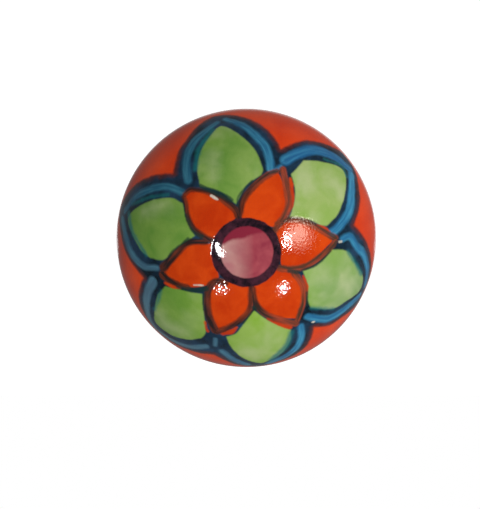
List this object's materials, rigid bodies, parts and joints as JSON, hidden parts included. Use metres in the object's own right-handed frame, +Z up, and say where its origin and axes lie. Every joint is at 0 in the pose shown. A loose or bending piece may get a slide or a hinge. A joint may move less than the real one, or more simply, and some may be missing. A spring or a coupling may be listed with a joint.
{
  "type": "cabinet knob",
  "caption": "Round glazed ceramic cabinet knob with a hand-painted six-petal flower, hollow neck, pressed steel base plate and a threaded fixing bolt.",
  "frame": {"origin": "on the knob's axis, in the back face of the base plate, where it meets the door", "axes": "+Y along the axis, the way the bolt points into the door; the painted face looks towards -Y; +Z is up as in the picture"},
  "size_m": [0.04, 0.0646, 0.04],
  "materials": {
    "orange_glaze": "glossy orange-red glaze with a faint orange-peel ripple",
    "cement": "rough set cement",
    "zinc_plated_steel": "bright zinc-plated thread",
    "nickel_plated_steel": "bright nickel-plated pressing",
    "raspberry_enamel": "hand-brushed pink over raspberry, glossy",
    "aubergine_enamel": "thick dark aubergine, glossy",
    "orange_enamel": "bright orange, glossy",
    "brown_enamel": "thin translucent brown brush line, glossy",
    "green_enamel": "mottled leaf green, satin gloss",
    "blue_enamel": "brushed blue, glossy",
    "navy_enamel": "dark navy brush line, glossy"
  },
  "bodies": {
    "root": {"ceramic_head": "orange_glaze", "cement": "cement", "bolt": "zinc_plated_steel", "base_plate": "nickel_plated_steel", "enamel_eye_disc": "raspberry_enamel", "enamel_eye_ring": "aubergine_enamel", "enamel_orange_petals": "orange_enamel", "enamel_brown_outlines": "brown_enamel", "enamel_green_petals": "green_enamel", "enamel_blue_borders": "blue_enamel", "enamel_navy_outlines": "navy_enamel"}
  },
  "joints": []
}
